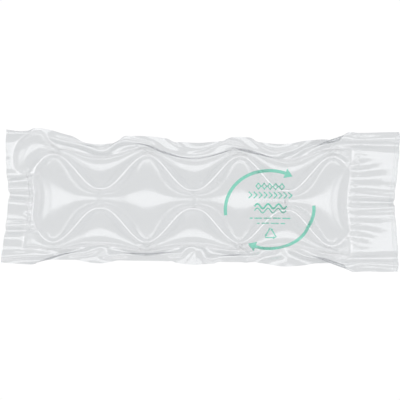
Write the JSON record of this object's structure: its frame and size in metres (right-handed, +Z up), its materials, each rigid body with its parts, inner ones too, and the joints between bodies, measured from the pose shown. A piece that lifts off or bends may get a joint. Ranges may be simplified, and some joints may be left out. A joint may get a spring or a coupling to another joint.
{
  "type": "inflated air cushion film strip",
  "caption": "Clear inflated air cushion film strip: two webs welded along wavy seals into quilted lanes, ruffled edges, green recycling arrow print.",
  "frame": {"origin": "centre of the strip's footprint, on the surface that it lies on", "axes": "+X along the strip from the flat end flange to the hemmed inlet edge, +Y across it, +Z up out of the upper web"},
  "size_m": [0.372, 0.133, 0.0353],
  "materials": {
    "film": "clear polyethylene film",
    "ink": "flexographic ink"
  },
  "bodies": {
    "root": {"upper_web": "film", "lower_web": "film", "arrow_print": "ink"}
  },
  "joints": []
}
